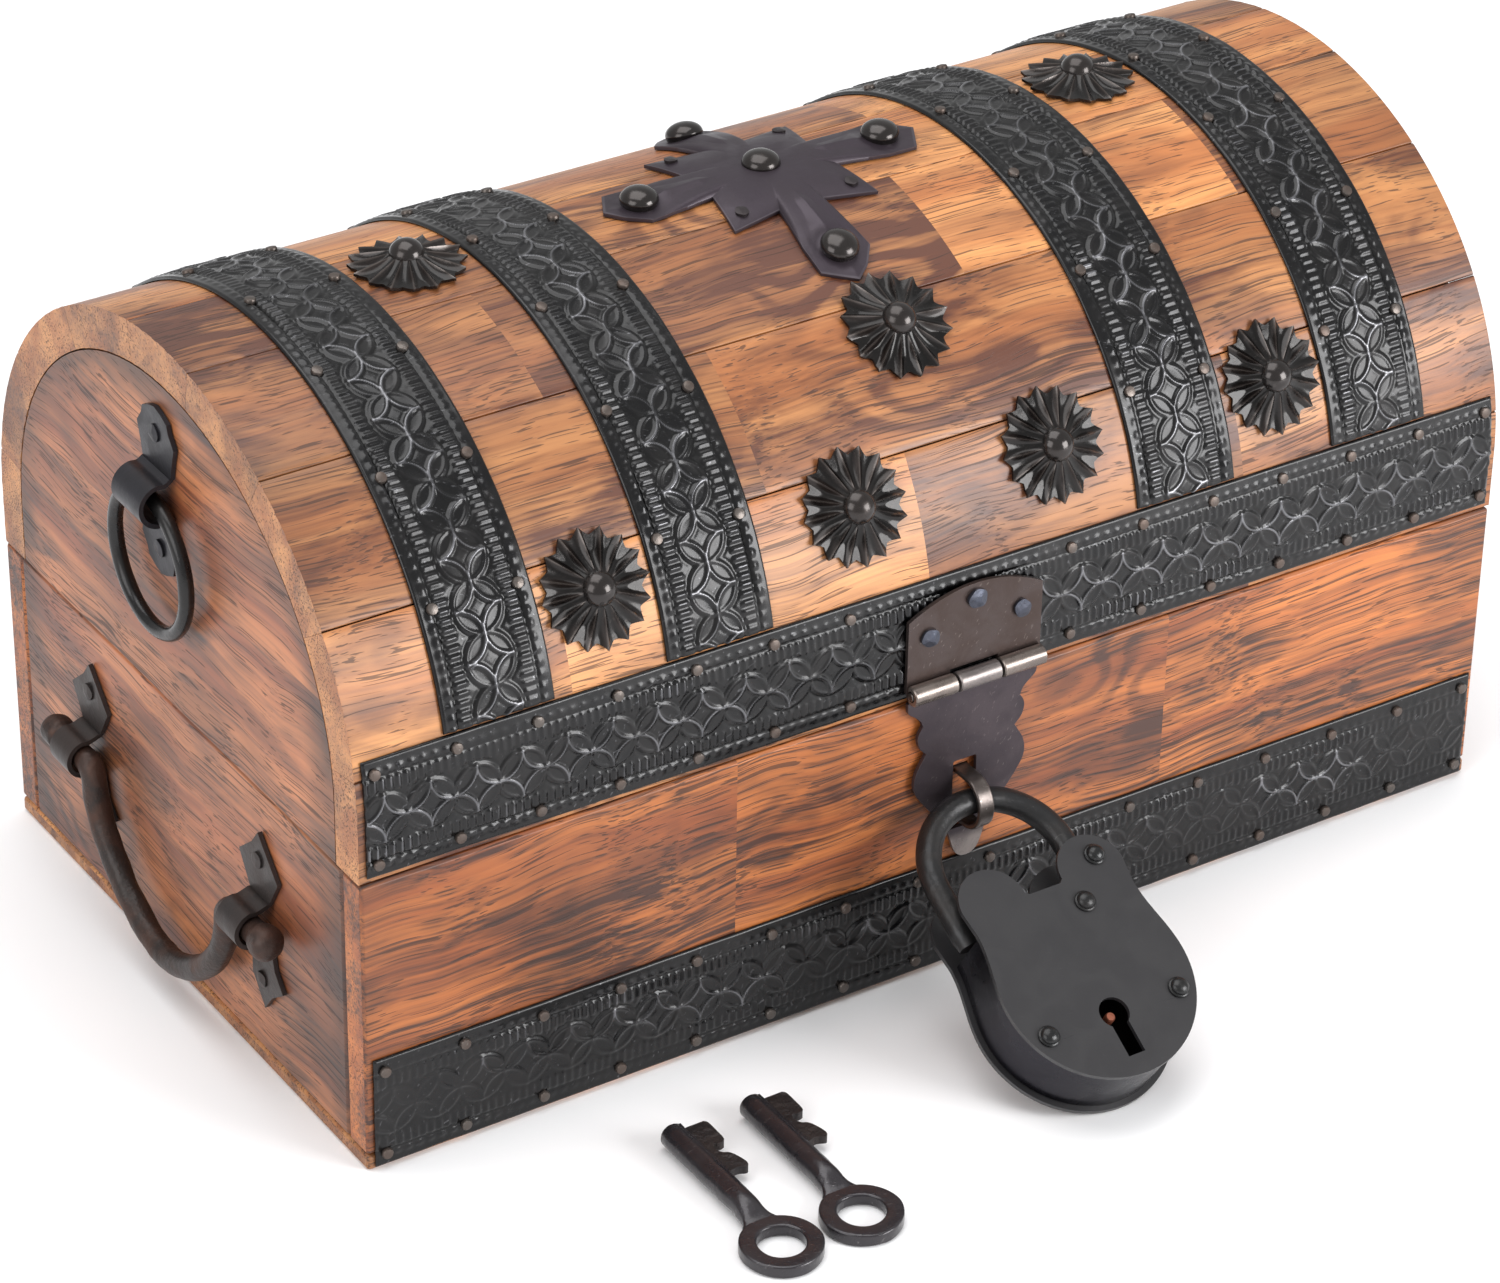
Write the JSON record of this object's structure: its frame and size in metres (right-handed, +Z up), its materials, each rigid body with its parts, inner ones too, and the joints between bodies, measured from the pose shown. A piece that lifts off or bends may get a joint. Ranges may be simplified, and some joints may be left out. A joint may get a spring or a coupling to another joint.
{
  "type": "treasure chest",
  "caption": "Domed wooden treasure chest with embossed iron straps, rosettes, a hasp with a hanging padlock, ring and bail handles, and loose skeleton keys.",
  "frame": {"origin": "middle of the chest's bottom face", "axes": "+X along the front from the viewer's left to right, -Y out of the front, +Z up"},
  "size_m": [0.3838, 0.2982, 0.2031],
  "materials": {
    "stave_wood": "satin lacquer, warm brown with dark grain",
    "front_wood": "satin lacquer, warm orange brown",
    "end_wood": "satin, dark grey brown",
    "black_iron": "satin black, embossed",
    "brown_steel": "browned steel",
    "worn_steel": "worn grey steel",
    "stud_black": "glossy black",
    "lock_black": "matte black",
    "key_iron": "dark brown black iron",
    "copper_pin": "rusty copper brown"
  },
  "bodies": {
    "base": {"bottom_board": "stave_wood", "base_front_board": "front_wood", "base_back_board": "front_wood", "base_left_panel": "end_wood", "base_right_panel": "end_wood", "base_front_strap": "black_iron", "staple": "worn_steel", "handle_clip_left_front": "black_iron", "handle_clip_left_rear": "black_iron", "handle_clip_right_front": "black_iron", "handle_clip_right_rear": "black_iron", "hinge_left_base_leaf": "black_iron", "hinge_right_base_leaf": "black_iron", "hinge_left_pin": "black_iron", "hinge_right_pin": "black_iron"},
    "lid": {"lid_stave_1": "stave_wood", "lid_stave_2": "stave_wood", "lid_stave_3": "stave_wood", "lid_stave_4": "stave_wood", "lid_stave_5": "stave_wood", "lid_stave_6": "stave_wood", "lid_stave_7": "stave_wood", "lid_stave_8": "stave_wood", "lid_stave_9": "stave_wood", "lid_left_panel": "end_wood", "lid_right_panel": "end_wood", "arch_strap_outer_left": "black_iron", "arch_strap_inner_left": "black_iron", "arch_strap_inner_right": "black_iron", "arch_strap_outer_right": "black_iron", "lid_front_strap": "black_iron", "rosette_low_left": "black_iron", "rosette_low_middle_left": "black_iron", "rosette_low_middle_right": "black_iron", "rosette_low_right": "black_iron", "rosette_middle": "black_iron", "rosette_top_left": "black_iron", "rosette_top_right": "black_iron", "top_cross": "black_iron", "hasp_plate": "brown_steel", "hasp_pin": "worn_steel", "hinge_left_lid_leaf": "black_iron", "hinge_right_lid_leaf": "black_iron", "ring_clip_left": "stud_black", "ring_clip_right": "stud_black"},
    "flap": {"hasp_flap": "brown_steel"},
    "shackle": {"padlock_shackle": "lock_black"},
    "padlock_case": {"padlock_front_plate": "lock_black", "padlock_back_plate": "lock_black", "padlock_band": "lock_black", "padlock_pivot_rivet": "lock_black", "padlock_key_post": "copper_pin"},
    "left_bail": {"handle_left": "black_iron"},
    "right_bail": {"handle_right": "black_iron"},
    "left_ring": {"ring_left": "stud_black"},
    "right_ring": {"ring_right": "stud_black"},
    "left_key": {"key_left": "key_iron"},
    "right_key": {"key_right": "key_iron"}
  },
  "joints": [
    {"name": "lid_hinge", "type": "hinge", "parent": "base", "child": "lid", "pos_m": [0, 0.1021, 0.08795], "axis": [-1, 0, 0], "range_deg": [0, 100]},
    {"name": "padlock_take_off", "type": "slide", "parent": "base", "child": "shackle", "axis": [0, -1, 0], "range_m": [0, 0.16]},
    {"name": "hasp_flap_hinge", "type": "hinge", "parent": "lid", "child": "flap", "pos_m": [0.003, -0.1029, 0.0925], "axis": [-1, 0, 0], "range_deg": [0, 151]},
    {"name": "padlock_case_pivot", "type": "hinge", "parent": "shackle", "child": "padlock_case", "pos_m": [0.0189, -0.13148, 0.04095], "axis": [0, -0.524, 0.8517], "range_deg": [0, 60]},
    {"name": "handle_left_swing", "type": "hinge", "parent": "base", "child": "left_bail", "pos_m": [-0.1862, 0, 0.05], "axis": [0, 1, 0], "range_deg": [0, 165]},
    {"name": "handle_right_swing", "type": "hinge", "parent": "base", "child": "right_bail", "pos_m": [0.1862, 0, 0.05], "axis": [0, -1, 0], "range_deg": [0, 165]},
    {"name": "ring_left_swing", "type": "hinge", "parent": "lid", "child": "left_ring", "pos_m": [-0.1846, 0, 0.153], "axis": [0, 1, 0], "range_deg": [0, 150]},
    {"name": "ring_right_swing", "type": "hinge", "parent": "lid", "child": "right_ring", "pos_m": [0.1846, 0, 0.153], "axis": [0, -1, 0], "range_deg": [0, 150]},
    {"name": "key_left_lift", "type": "slide", "parent": "base", "child": "left_key", "axis": [0, 0, 1], "range_m": [0, 0.05]},
    {"name": "key_right_lift", "type": "slide", "parent": "base", "child": "right_key", "axis": [0, 0, 1], "range_m": [0, 0.05]}
  ],
  "couplings": [
    {"joint": "hasp_flap_hinge", "follows": "padlock_take_off", "rad_per_m": 16.36}
  ]
}
